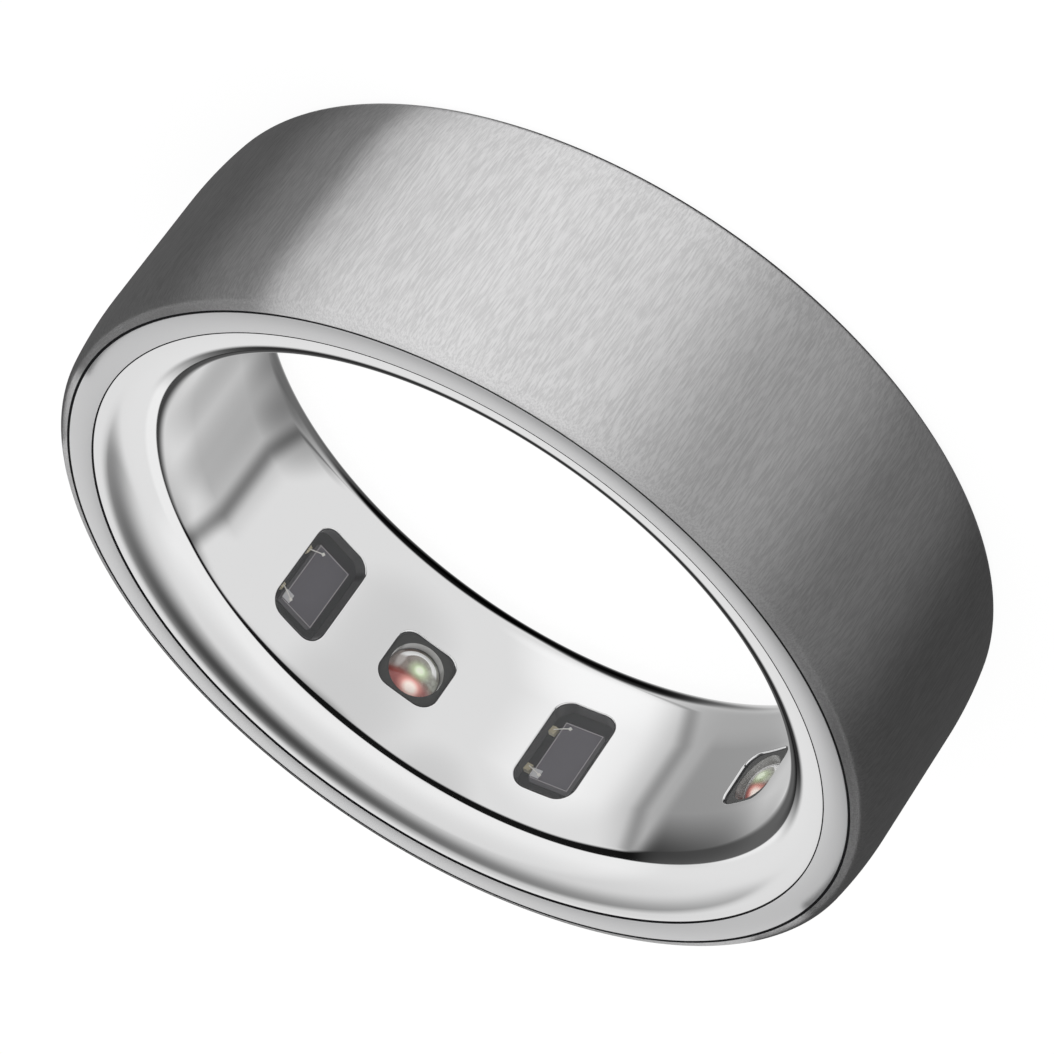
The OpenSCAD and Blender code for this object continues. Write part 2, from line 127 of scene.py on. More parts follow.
# ---- profiles: (radius, height, normal's radius part, normal's height part) ----
def arc(centre_r, centre_z, radius, start, end, steps):
    """Profile points along an arc, with normals that point away from its centre."""
    out = []
    for i in range(steps + 1):
        a = math.radians(start + (end - start) * i / steps)
        c, s = math.cos(a), math.sin(a)
        out.append((centre_r + radius * c, centre_z + radius * s, c, s))
    return out


def line(start, end, normal, steps=1):
    """Profile points along a straight stretch."""
    length = math.hypot(*normal)
    unit = (normal[0] / length, normal[1] / length)
    return [
        (start[0] + (end[0] - start[0]) * i / steps, start[1] + (end[1] - start[1]) * i / steps, *unit)
        for i in range(steps + 1)
    ]


def mirrored(run):
    """The same stretch at the other end of the ring."""
    return [(r, RING_W - z, nr, -nz) for r, z, nr, nz in reversed(run)]


def put_in(mesh, material, slot, *nodes):
    """Puts a finished mesh in the scene: it rides on the ring and stands for the named CAD nodes."""
    mesh.materials.append(material)
    piece = bpy.data.objects.new(mesh.name, mesh)
    bpy.context.scene.collection.objects.link(piece)
    piece.visible_glossy = False
    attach(piece, BODY)
    if nodes:
        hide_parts(*nodes)


def make(bm, name, material, slot, *nodes, place=None):
    """Makes a bmesh in millimetres into a piece with its faces outward and its edges kept sharp."""
    bmesh.ops.recalc_face_normals(bm, faces=bm.faces)
    bmesh.ops.transform(bm, matrix=Matrix.Scale(MM, 4) @ (place or Matrix.Identity(4)), verts=bm.verts)
    mesh = bpy.data.meshes.new(name)
    bm.to_mesh(mesh)
    bm.free()
    mesh.polygons.foreach_set("use_smooth", [True] * len(mesh.polygons))
    mesh.set_sharp_from_angle(angle=math.radians(SHARP))
    put_in(mesh, material, slot, *nodes)


def lathe(profile, axis, steps, closed=True):
    """A profile of points turned right round an axis through the origin. An open one ends on the axis."""
    bm = bmesh.new()
    verts = [bm.verts.new(p) for p in profile]
    pairs = list(zip(verts, verts[1:])) + ([(verts[-1], verts[0])] if closed else [])
    edges = [bm.edges.new(pair) for pair in pairs]
    bmesh.ops.spin(
        bm, geom=verts + edges, cent=(0, 0, 0), axis=axis, angle=2 * math.pi, steps=steps, use_merge=True
    )
    bmesh.ops.remove_doubles(bm, verts=bm.verts, dist=1e-5)
    return bm


def block(bm, x, y, z, turn=0.0):
    """A plain block between pairs of x, y and z, turned about X by turn radians round its own centre."""
    centre = Matrix.Translation([sum(pair) / 2 for pair in (x, y, z)])
    size = Matrix.Diagonal([pair[1] - pair[0] for pair in (x, y, z)] + [1.0])
    bmesh.ops.create_cube(bm, size=1.0, matrix=centre @ Matrix.Rotation(turn, 4, "X") @ size)


def wire(bm, path, radius, sides=10):
    """A round wire along a path: a disc drawn out from point to point and turned into each new way."""
    path = [Vector(p) for p in path]
    way = (path[1] - path[0]).normalized()
    start = Matrix.Translation(path[0]) @ Vector((0, 0, 1)).rotation_difference(way).to_matrix().to_4x4()
    disc = bmesh.ops.create_circle(bm, cap_ends=True, segments=sides, radius=radius, matrix=start)
    face = disc["verts"][0].link_faces[0]
    for i in range(1, len(path)):
        drawn = bmesh.ops.extrude_face_region(bm, geom=[face, *face.edges])["geom"]
        verts = [g for g in drawn if isinstance(g, bmesh.types.BMVert)]
        face = next(g for g in drawn if isinstance(g, bmesh.types.BMFace))
        bmesh.ops.translate(bm, vec=path[i] - path[i - 1], verts=verts)
        new_way = (path[min(i + 1, len(path) - 1)] - path[i - 1]).normalized()
        bmesh.ops.rotate(bm, cent=path[i], matrix=way.rotation_difference(new_way).to_matrix(), verts=verts)
        way = new_way


def rounded_frame(w, h, r, hole_r, x0, x1):
    """A plate from x0 to x1 with round corners and a round hole."""
    bm = bmesh.new()
    corners = [bm.verts.new((x0, y * w / 2, z * h / 2)) for y, z in ((-1, -1), (1, -1), (1, 1), (-1, 1))]
    bm.faces.new(corners)
    bmesh.ops.bevel(bm, geom=corners, offset=r, segments=8, profile=0.5, affect="VERTICES", material=-1)
    bmesh.ops.delete(bm, geom=list(bm.faces), context="FACES_ONLY")
    hole = Matrix.Translation((x0, 0, 0)) @ Matrix.Rotation(math.pi / 2, 4, "Y")
    bmesh.ops.create_circle(bm, cap_ends=False, segments=72, radius=hole_r, matrix=hole)
    bmesh.ops.bridge_loops(bm, edges=list(bm.edges))
    drawn = bmesh.ops.extrude_face_region(bm, geom=list(bm.faces))["geom"]
    verts = [g for g in drawn if isinstance(g, bmesh.types.BMVert)]
    bmesh.ops.translate(bm, vec=(x1 - x0, 0, 0), verts=verts)
    return bm


class Shape:
    """Faces with exact normals, for the mirror bore and what must lie on it without a facet or a crease."""

    def __init__(self, place=None):
        self.place = place or Matrix.Identity(4)
        self.points, self.lookup, self.faces, self.normals = [], {}, [], []

    def corner(self, point):
        """The number of the vertex at this place, new or already there."""
        p = self.place @ Vector(point)
        key = (round(p.x, 5), round(p.y, 5), round(p.z, 5))
        if key not in self.lookup:
            self.lookup[key] = len(self.points)
            self.points.append(p)
        return self.lookup[key]

    def face(self, *corners):
        """One face from (point, normal) corners, turned to agree with its normals."""
        ids = [self.corner(p) for p, _ in corners]
        keep = [i for i in range(len(ids)) if ids[i] != ids[i - 1]]
        if len(keep) < 3:
            return
        turn = self.place.to_3x3()
        ids, normals = [ids[i] for i in keep], [turn @ Vector(corners[i][1]) for i in keep]
        p = [self.points[i] for i in ids]
        flat = (p[1] - p[0]).cross(p[2] - p[0]) if len(p) == 3 else (p[2] - p[0]).cross(p[3] - p[1])
        if flat.dot(sum(normals, Vector())) < 0:
            ids.reverse()
            normals.reverse()
        self.faces.append(ids)
        self.normals += normals

    def make(self, name, material, slot, *nodes):
        """The piece itself: it rides on the ring and stands for the named CAD nodes."""
        mesh = bpy.data.meshes.new(name)
        mesh.from_pydata([p * MM for p in self.points], [], self.faces)
        mesh.polygons.foreach_set("use_smooth", [True] * len(self.faces))
        mesh.update()
        mesh.normals_split_custom_set([n.normalized() for n in self.normals])
        put_in(mesh, material, slot, *nodes)


def spin(shape, runs, steps=STEPS, skip=None):
    """Turns runs of profile points about the Z axis. skip leaves out the cells that a window patch fills."""
    turn = [(math.cos(2 * math.pi * k / steps), math.sin(2 * math.pi * k / steps)) for k in range(steps)]

    def at(entry, k):
        r, z, nr, nz = entry
        c, s = turn[k % steps]
        return (r * c, r * s, z), (nr * c, nr * s, nz)

    for run in runs:
        for a, b in zip(run, run[1:]):
            for k in range(steps):
                if skip and skip(run, a, b, k):
                    continue
                shape.face(at(a, k), at(a, k + 1), at(b, k + 1), at(b, k))


def window_place(angle):
    """A window's own frame: X out from the ring's axis, Y round the ring, Z along it, from mid width."""
    return Matrix.Translation((0, 0, MID)) @ Matrix.Rotation(math.radians(angle), 4, "Z")


def round_box(w, h, r, off=0.0, corner_steps=8, side_steps=10):
    """A rounded rectangle's outline (y, z, normal y, normal z), moved outwards by off."""
    out = []
    for k in range(4):
        cy = (w / 2 - r) * (1 if k in (0, 3) else -1)
        cz = (h / 2 - r) * (1 if k < 2 else -1)
        for i in range(corner_steps + 1):
            a = math.radians(90 * k + 90 * i / corner_steps)
            c, s = math.cos(a), math.sin(a)
            out.append((cy + (r + off) * c, cz + (r + off) * s, c, s))
        ny, nz = ((0, 1), (-1, 0), (0, -1), (1, 0))[k]
        y0, z0 = out[-1][:2]
        span = (w if k in (0, 2) else h) - 2 * r
        for i in range(1, side_steps):
            t = span * i / side_steps
            out.append((y0 + (-t, 0, t, 0)[k], z0 + (0, -t, 0, t)[k], ny, nz))
    return out


def box_distance(y, z, w, h, r):
    """How far a point lies outside a rounded rectangle, negative inside."""
    dy, dz = abs(y) - (w / 2 - r), abs(z) - (h / 2 - r)
    return math.hypot(max(dy, 0), max(dz, 0)) + min(max(dy, dz), 0) - r


def crown_at(z):
    """The bore's radius and normal at a height from mid width, between its two corners."""
    side, dz = math.copysign(1, z), max(abs(z) - BORE_FLAT / 2, 0)
    drop = math.sqrt(CROWN_R**2 - dz**2)
    return BORE_R + CROWN_R - drop, -drop / CROWN_R, side * dz / CROWN_R


def tube_at(radius):
    """A plain cylinder's radius and normal, facing out."""
    return lambda z: (radius, 1.0, 0.0)


def on_surface(surface, y, z):
    """The point and normal of a revolved surface at y, z in a window's frame."""
    r, nr, nz = surface(z)
    x = math.sqrt(r * r - y * y)
    return (x, y, z), (nr * x / r, nr * y / r, nz)


def fill(outline, extra):
    """Triangles that fill an outline (y, z), as lists of the given points."""
    points = [Vector(p[:2]) for p in outline]
    edges = [(i, (i + 1) % len(outline)) for i in range(len(outline))]
    points += [Vector(p[:2]) for p in extra]
    verts, _, faces, *_ = delaunay_2d_cdt(points, edges, [], 0, 1e-7, False)
    return [[verts[i] for i in f] for f in faces]


def cap(shape, outline, place, w, h, r, pitch=0.12):
    """Closes a rounded rectangle with triangles. place gives the point and normal at y, z."""
    extra = []
    rows, columns = int(h / pitch), int(w / pitch)
    for i in range(rows + 1):
        for j in range(columns + 1):
            y, z = (j / columns - 0.5) * w, (i / rows - 0.5) * h
            if box_distance(y, z, w, h, r) < -pitch / 2:
                extra.append((y, z))
    for tri in fill(outline, extra):
        y, z = sum(v.x for v in tri) / 3, sum(v.y for v in tri) / 3
        if box_distance(y, z, w, h, r) < 0:
            shape.face(*(place(v.x, v.y) for v in tri))


# ---- materials ----
def add(tree, kind, inputs=None, **settings):
    """A node with its settings, and inputs that are values or other nodes' sockets."""
    node = tree.nodes.new(kind)
    for key, value in settings.items():
        setattr(node, key, value)
    for key, value in (inputs or {}).items():
        if isinstance(value, bpy.types.NodeSocket):
            tree.links.new(value, node.inputs[key])
        else:
            node.inputs[key].default_value = value
    return node


def calc(tree, operation, *values):
    """A Math node's result."""
    return add(tree, "ShaderNodeMath", dict(enumerate(values)), operation=operation).outputs[0]


def plus(tree, first, *others):
    """The sum of two values or more."""
    for other in others:
        first = calc(tree, "ADD", first, other)
    return first


def minus(tree, a, b):
    """The difference of two values."""
    return calc(tree, "SUBTRACT", a, b)


def times(tree, first, *others):
    """The product of two values or more."""
    for other in others:
        first = calc(tree, "MULTIPLY", first, other)
    return first


def apart(tree, a, b=0.0):
    """How far two values lie apart."""
    return calc(tree, "ABSOLUTE", minus(tree, a, b))


def hypot(tree, a, b):
    """The length of the hypotenuse over two sides."""
    return calc(tree, "SQRT", plus(tree, times(tree, a, a), times(tree, b, b)))


def ramp(tree, value, low, high, to_low=0.0, to_high=1.0):
    """value from low to high, eased and held at both ends."""
    inputs = {0: value, 1: low, 2: high, 3: to_low, 4: to_high}
    return add(tree, "ShaderNodeMapRange", inputs, interpolation_type="SMOOTHSTEP").outputs[0]


def blend(tree, factor, a, b):
    """A mix of two colours."""
    node = add(tree, "ShaderNodeMix", data_type="RGBA")
    for key, value in ((0, factor), (6, a), (7, b)):
        if isinstance(value, bpy.types.NodeSocket):
            tree.links.new(value, node.inputs[key])
        else:
            node.inputs[key].default_value = value
    return node.outputs[2]


def grey(level, tint=(1.0, 1.0, 1.0)):
    """A grey, or a slightly tinted one, as a colour."""
    return (level * tint[0], level * tint[1], level * tint[2], 1.0)


def new_material(name):
    """An empty node material with its output."""
    mat = bpy.data.materials.new(name)
    mat.use_nodes = True
    tree = mat.node_tree
    tree.nodes.clear()
    return mat, tree, add(tree, "ShaderNodeOutputMaterial")


def object_place(tree, scale=(1.0, 1.0, 1.0)):
    """Object coordinates, stretched by scale."""
    place = add(tree, "ShaderNodeTexCoord").outputs["Object"]
    return add(tree, "ShaderNodeMapping", {"Vector": place, "Scale": scale}).outputs[0]


def noise(tree, vector, scale, detail=3.0, roughness=0.5):
    """Fine noise from 0 to 1."""
    inputs = {"Vector": vector, "Scale": scale, "Detail": detail, "Roughness": roughness}
    return add(tree, "ShaderNodeTexNoise", inputs).outputs[0]


def plain(name, colour, roughness=0.5, metallic=0.0, grain=0.06, size=9000.0, bump=0.0, **sockets):
    """A surface whose colour wavers a little, and that may have a fine bump."""
    mat, tree, out = new_material(name)
    n = noise(tree, object_place(tree), size)
    low = tuple(c * (1 - grain) for c in colour[:3]) + (1.0,)
    high = tuple(min(c * (1 + grain), 1.0) for c in colour[:3]) + (1.0,)
    inputs = {
        "Base Color": blend(tree, n, low, high),
        "Roughness": roughness,
        "Metallic": metallic,
        **{key.replace("_", " "): value for key, value in sockets.items()},
    }
    if bump:
        dents = {"Strength": bump, "Distance": 0.00001, "Height": n}
        inputs["Normal"] = add(tree, "ShaderNodeBump", dents).outputs[0]
    bsdf = add(tree, "ShaderNodeBsdfPrincipled", inputs)
    tree.links.new(bsdf.outputs[0], out.inputs[0])
    return mat


def brushed_metal():
    """Titanium brushed along the ring's axis: short fine strokes, spread light round the ring."""
    mat, tree, out = new_material("brushed_titanium")
    fine = noise(tree, object_place(tree, (1.0, 1.0, 0.08)), 29000.0, 2.0, 0.6)
    coarse = noise(tree, object_place(tree, (1.0, 1.0, 0.07)), 15000.0, 2.0, 0.6)
    mixed = plus(tree, times(tree, fine, 0.55), times(tree, coarse, 0.45))
    tone = ramp(tree, mixed, 0.38, 0.62)
    colour = blend(tree, tone, grey(0.62, (1.0, 0.995, 1.0)), grey(0.77, (1.0, 0.995, 1.0)))
    bump = add(tree, "ShaderNodeBump", {"Strength": 1.0, "Distance": 0.000015, "Height": mixed}).outputs[0]
    bsdf = add(
        tree,
        "ShaderNodeBsdfPrincipled",
        {
            "Base Color": colour,
            "Metallic": 1.0,
            "Roughness": 0.34,
            "Anisotropic": 0.75,
            "Normal": bump,
            "Tangent": add(tree, "ShaderNodeTangent", direction_type="RADIAL", axis="Z").outputs[0],
        },
    )
    tree.links.new(bsdf.outputs[0], out.inputs[0])
    return mat


def clear_pane(name, tint, ior):
    """Thin clear resin: the eye passes straight through it, and it keeps a weak gloss."""
    mat, tree, out = new_material(name)
    n = noise(tree, object_place(tree), 3000.0)
    tint = blend(tree, n, tuple(0.99 * t for t in tint) + (1.0,), tint + (1.0,))
    through = add(tree, "ShaderNodeBsdfTransparent", {"Color": tint}).outputs[0]
    gloss = add(tree, "ShaderNodeBsdfGlossy", {"Color": grey(1.0), "Roughness": 0.04}).outputs[0]
    front = minus(tree, 1.0, add(tree, "ShaderNodeNewGeometry").outputs["Backfacing"])
    edge = times(tree, add(tree, "ShaderNodeFresnel", {"IOR": ior}).outputs[0], front)
    mixed = add(tree, "ShaderNodeMixShader", {0: edge, 1: through, 2: gloss})
    tree.links.new(mixed.outputs[0], out.inputs[0])
    return mat


def light_core(name, angle):
    """What shows in a light window: a pale painted reflection at one end, green in the middle and red at the
    other end with their glow painted round them, a painted white highlight crescent and a faint painted glow
    over it all.
    """
    mat, tree, out = new_material(name)
    place = add(tree, "ShaderNodeTexCoord").outputs["Object"]
    back_turn = (0.0, 0.0, -math.radians(angle))
    inputs = {"Vector": place, "Location": (0.0, 0.0, -MID * MM), "Rotation": back_turn}
    own = add(tree, "ShaderNodeMapping", inputs).outputs[0]
    xyz = add(tree, "ShaderNodeSeparateXYZ", {0: own}).outputs
    y, z = (times(tree, xyz[i], 1 / MM) for i in (1, 2))

    def near(cy, cz, wide, long):
        """Distance from a centre, counted in half widths and half lengths."""
        dy = calc(tree, "DIVIDE", minus(tree, y, cy), wide)
        dz = calc(tree, "DIVIDE", minus(tree, z, cz), long)
        return hypot(tree, dy, dz)

    def spot(under, where, full, gone, share, colour):
        """A soft spot: share of its colour within full, none beyond gone, counted as in near."""
        return blend(tree, ramp(tree, near(*where), full, gone, share, 0.0), under, (*colour, 1.0))

    wavy = noise(tree, place, 4500.0, 3.0)
    colour = blend(tree, ramp(tree, y, -0.55, 0.5), (0.2, 0.155, 0.135, 1.0), (0.4, 0.41, 0.36, 1.0))
    colour = blend(tree, ramp(tree, wavy, 0.42, 0.62, 0.0, 0.45), colour, (0.09, 0.065, 0.055, 1.0))
    # A pale spot at one side is a painted reflection.
    colour = spot(colour, (-0.55, -0.1, 0.16, 0.4), 0.4, 1.0, 0.6, (0.55, 0.52, 0.5))
    # Red at one end: the red emitter's colour, spread out to the window's edge as its painted glow, with a
    # pink halo and a pink-white painted hot spot.
    red_glow = times(tree, ramp(tree, z, 0.06, 0.42), 0.85)
    colour = blend(tree, red_glow, colour, (0.33, 0.045, 0.04, 1.0))
    colour = spot(colour, (0.13, 0.49, 0.5, 0.33), 0.2, 1.05, 1.0, (0.95, 0.42, 0.36))
    colour = spot(colour, (0.14, 0.52, 0.35, 0.24), 0.3, 1.0, 1.0, (1.0, 0.87, 0.79))
    # Green in the middle: the green emitter's colour, with a pale painted glow at its centre.
    colour = spot(colour, (0.1, -0.05, 0.46, 0.38), 0.2, 1.0, 0.9, (0.55, 0.66, 0.4))
    colour = spot(colour, (0.1, -0.05, 0.23, 0.2), 0.3, 1.0, 1.0, (0.86, 0.95, 0.74))
    # A white crescent on a circle near the lens's edge is a painted highlight.
    highlight_circle = ramp(tree, apart(tree, near(0.0, 0.0, 0.62, 0.62), 0.98), 0.1, 0.19, 1.0, 0.0)
    painted_highlight = times(tree, highlight_circle, ramp(tree, z, -0.18, -0.36))
    colour = blend(tree, painted_highlight, colour, (0.95, 0.95, 0.95, 1.0))
    # The whole face also glows faintly in its own colours: painted light.
    inputs = {
        "Base Color": colour,
        "Roughness": 0.3,
        "Emission Color": colour,
        "Emission Strength": 0.22,
    }
    bsdf = add(tree, "ShaderNodeBsdfPrincipled", inputs)
    tree.links.new(bsdf.outputs[0], out.inputs[0])
    return mat


MAT = {
    "shell": brushed_metal(),
    "edge": plain(
        "edge_titanium", (0.83, 0.83, 0.835), 0.33, metallic=1.0, grain=0.025, size=30000.0, bump=0.08
    ),
    "liner": plain("liner_titanium", (0.88, 0.88, 0.882), 0.045, metallic=1.0, grain=0.006, size=900.0),
    "seam": plain(
        "seam_adhesive", (0.006, 0.006, 0.007), 0.6, grain=0.2, size=8000.0, Specular_IOR_Level=0.05
    ),
    "seal": plain("window_seal", (0.035, 0.035, 0.037), 0.45, grain=0.15, size=8000.0),
    "pane": clear_pane("pane_resin", (0.95, 0.95, 0.955), 1.35),
    "die": plain("die_silicon", (0.135, 0.13, 0.145), 0.35, grain=0.05, size=2500.0),
    "die_line": plain("die_line", (0.5, 0.48, 0.47), 0.35, grain=0.1, size=9000.0),
    "bond_pad": plain("bond_pad", (0.62, 0.62, 0.62), 0.4, grain=0.08, size=9000.0),
    "carrier": plain("carrier_laminate", (0.052, 0.053, 0.055), 0.55, grain=0.08, size=6000.0),
    "gold": plain("bond_gold", (0.66, 0.6, 0.43), 0.4, grain=0.1, size=12000.0),
    "wire": plain("bond_wire", (0.92, 0.9, 0.84), 0.35, grain=0.05, size=12000.0),
    "bezel": plain("bezel_plastic", (0.062, 0.063, 0.062), 0.3, grain=0.08, size=7000.0),
    "cup": plain("cup_resin", (0.36, 0.36, 0.35), 0.25, grain=0.12, size=6000.0),
    "package": plain("package_ceramic", (0.42, 0.38, 0.37), 0.35, grain=0.1, size=4000.0),
    "lens": clear_pane("lens_silicone", (0.98, 0.98, 0.98), 1.55),
    "green": plain("emitter_green", (0.62, 0.8, 0.36), 0.3, grain=0.05, size=9000.0),
    "red": plain("emitter_red", (0.95, 0.42, 0.36), 0.3, grain=0.05, size=9000.0),
    "infrared": plain("emitter_infrared", (0.2, 0.15, 0.17), 0.3, grain=0.05, size=9000.0),
    "barrier": plain("barrier_foam", (0.03, 0.03, 0.03), 0.8),
    "flex": plain("flex_polyimide", (0.55, 0.3, 0.06), 0.35),
    "chip": plain("chip_plastic", (0.035, 0.035, 0.038), 0.5),
    "can": plain("crystal_can", (0.7, 0.7, 0.66), 0.3, metallic=1.0),
    "capacitor": plain("capacitor_ceramic", (0.4, 0.28, 0.17), 0.45),
    "copper": plain("copper", (0.78, 0.4, 0.24), 0.3, metallic=1.0),
    "foil": plain("cell_foil", (0.7, 0.71, 0.73), 0.35, metallic=1.0),
    "nickel": plain("tab_nickel", (0.72, 0.7, 0.66), 0.35, metallic=1.0),
    "board": plain("board_laminate", (0.02, 0.18, 0.07), 0.35),
    "ferrite": plain("ferrite", (0.07, 0.07, 0.07), 0.7),
    "potting": plain("potting_resin", (0.12, 0.12, 0.13), 0.3),
}


# ---- outer shell ----
shoulder_z = (RING_W - SHELL_BAND) / 2
rim_r = OUTER_R - SHOULDER_R + math.sqrt((SHOULDER_R - RIM_R) ** 2 - (shoulder_z - RIM_R) ** 2)
rim_turn = math.degrees(math.atan((shoulder_z - RIM_R) / (rim_r - OUTER_R + SHOULDER_R)))
seam_r = SHELL_IN_R + SEAM_EXTRA
rim_end = math.degrees(math.acos((seam_r - rim_r) / RIM_R))
rim = arc(rim_r, RIM_R, RIM_R, -rim_end, -rim_turn, 14)
steep = math.radians(RIM_STEEP)
held = (math.cos(steep), -math.sin(steep))
rim = [(r, z, nr, nz) if -nz < math.sin(steep) else (r, z, *held) for r, z, nr, nz in rim]
rim_z = rim[0][1]
shoulder = arc(OUTER_R - SHOULDER_R, shoulder_z, SHOULDER_R, -rim_turn, 0, 16)
band = line((OUTER_R, shoulder_z), (OUTER_R, RING_W - shoulder_z), (1, 0), 6)
shape = Shape()
spin(
    shape,
    [
        rim + shoulder[1:] + band[1:] + mirrored(shoulder)[1:] + mirrored(rim)[1:],
        line((seam_r, RING_W - rim_z), (seam_r, RING_W - EDGE_R), (-1, 0)),
        line((seam_r, RING_W - EDGE_R), (SHELL_IN_R, RING_W - EDGE_R), (0, 1)),
        line((SHELL_IN_R, RING_W - EDGE_R), (SHELL_IN_R, EDGE_R), (-1, 0)),
        line((SHELL_IN_R, EDGE_R), (seam_r, EDGE_R), (0, -1)),
        line((seam_r, EDGE_R), (seam_r, rim_z), (-1, 0)),
    ],
)
shape.make("shell", MAT["shell"], "shell_titanium", "outer_shell")

# ---- bore liner with its windows ----
slope = math.radians(LIP_SLOPE)
crown_z = (RING_W - BORE_FLAT) / 2
crown_r = BORE_R + CROWN_R
lip_way = Vector((-math.cos(slope), math.sin(slope)))
base = Vector((LIP_R, LIP_DROP)) + CORNER_R * Vector((math.sin(slope), math.cos(slope)))
off = base - Vector((crown_r, crown_z))
off_way = off.dot(lip_way)
corner_c = base + (math.sqrt(off_way**2 - off.length_squared + (CROWN_R - CORNER_R) ** 2) - off_way) * lip_way
crown_turn = math.degrees(math.atan((crown_z - corner_c.y) / (crown_r - corner_c.x)))
corner = arc(corner_c.x, corner_c.y, CORNER_R, 270 - LIP_TURN, 180 + crown_turn, 22)
crown = arc(crown_r, crown_z, CROWN_R, 180 + crown_turn, 180, 24)
lip_c = Vector((corner[0][0], corner[0][1])) - LIP_ARC_R * Vector((corner[0][2], corner[0][3]))
lip_end = math.degrees(math.acos((LIP_R - lip_c.x) / LIP_ARC_R))
lip = arc(lip_c.x, lip_c.y, LIP_ARC_R, -lip_end, -90 - LIP_TURN, 10)
lower = lip + corner[1:] + crown[1:]
flat = line((BORE_R, crown_z), (BORE_R, RING_W - crown_z), (-1, 0), 12)
bore_run = lower + flat[1:] + mirrored(lower)[1:]
back_z = CAVITY_Z + FLANGE_BEVEL
back_run = line((LINER_OUT_R, RING_W - back_z), (LINER_OUT_R, back_z), (1, 0), 20)
bevel = line((LINER_OUT_R, back_z), (LINER_OUT_R + FLANGE_BEVEL, CAVITY_Z), (1, 1))
flange = [
    line((LINER_OUT_R + FLANGE_BEVEL, CAVITY_Z), (FLANGE_R, CAVITY_Z), (0, 1)),
    line((FLANGE_R, CAVITY_Z), (FLANGE_R, FLANGE_Z), (1, 0)),
    line((FLANGE_R, FLANGE_Z), (LIP_R, FLANGE_Z), (0, -1)),
    line((LIP_R, FLANGE_Z), (LIP_R, lip[0][1]), (1, 0)),
]
windows = [(a, PHOTO_L, PHOTO_CORNER) for a in PHOTOS.values()]
windows += [(a, LIGHT_L, LIGHT_CORNER) for a in LIGHTS.values()]

# Round each window the liner is filled by a patch: degrees to each side, millimetres past the window's ends,
# the least room between the window's edge and the patch's own points, and the radius it is laid flat at.
PATCH_TURN = 8.2
PATCH_MARGIN = 0.45
PATCH_ROOM = 0.03
PATCH_R = 10.0
step_angle = 360 / STEPS


def patch_steps(angle):
    """First and last step of the part of the ring that a window's patch fills."""
    return math.floor((angle - PATCH_TURN) / step_angle), math.ceil((angle + PATCH_TURN) / step_angle)


def in_patch(run, a, b, k):
    """Whether a cell of the bore or of the liner's back belongs to a window's patch."""
    if run is not bore_run and run is not back_run:
        return False
    for angle, length, _ in windows:
        first, last = patch_steps(angle)
        if first <= k < last and max(abs(a[1] - MID), abs(b[1] - MID)) <= length / 2 + PATCH_MARGIN:
            return True
    return False


def patch(shape, run, angle, length, outline, surface):
    """Fills the cells round a window up to its outline, with every point on the revolved surface."""
    first, last = patch_steps(angle)
    rows = [e for e in run if abs(e[1] - MID) <= length / 2 + PATCH_MARGIN]
    points, places, edges, numbers = [], [], [], {}

    def put(turn, z, place):
        points.append(Vector((turn * PATCH_R, z)))
        places.append(place)
        return len(points) - 1

    w, h, r = outline
    for i, (radius, z, nr, nz) in enumerate(rows):
        for k in range(first, last + 1):
            turn = 2 * math.pi * k / STEPS
            y = radius * math.sin(turn - math.radians(angle))
            border = i in (0, len(rows) - 1) or k in (first, last)
            if border or box_distance(y, z - MID, w, h, r) > PATCH_ROOM:
                c, s = math.cos(turn), math.sin(turn)
                place = (radius * c, radius * s, z), (nr * c, nr * s, nz)
                numbers[i, k] = put(turn, z, place)
    for i in range(len(rows) - 1):
        edges += [(numbers[i, k], numbers[i + 1, k]) for k in (first, last)]
    for k in range(first, last):
        edges += [(numbers[i, k], numbers[i, k + 1]) for i in (0, len(rows) - 1)]
    ring = []
    own = window_place(angle)
    for y, z, _, _ in round_box(w, h, r):
        point, normal = on_surface(surface, y, z)
        turn = math.radians(angle) + math.asin(y / surface(z)[0])
        ring.append(put(turn, z + MID, (own @ Vector(point), own.to_3x3() @ Vector(normal))))
    edges += [(ring[i], ring[(i + 1) % len(ring)]) for i in range(len(ring))]
    verts, _, faces, sources, *_ = delaunay_2d_cdt(points, edges, [], 0, 1e-9, True)
    for f in faces:
        ids = [sources[i][0] for i in f]
        turn = sum(points[i].x for i in ids) / (3 * PATCH_R) - math.radians(angle)
        z = sum(points[i].y for i in ids) / 3 - MID
        if box_distance(surface(z)[0] * math.sin(turn), z, w, h, r) > 0:
            shape.face(*(places[i] for i in ids))


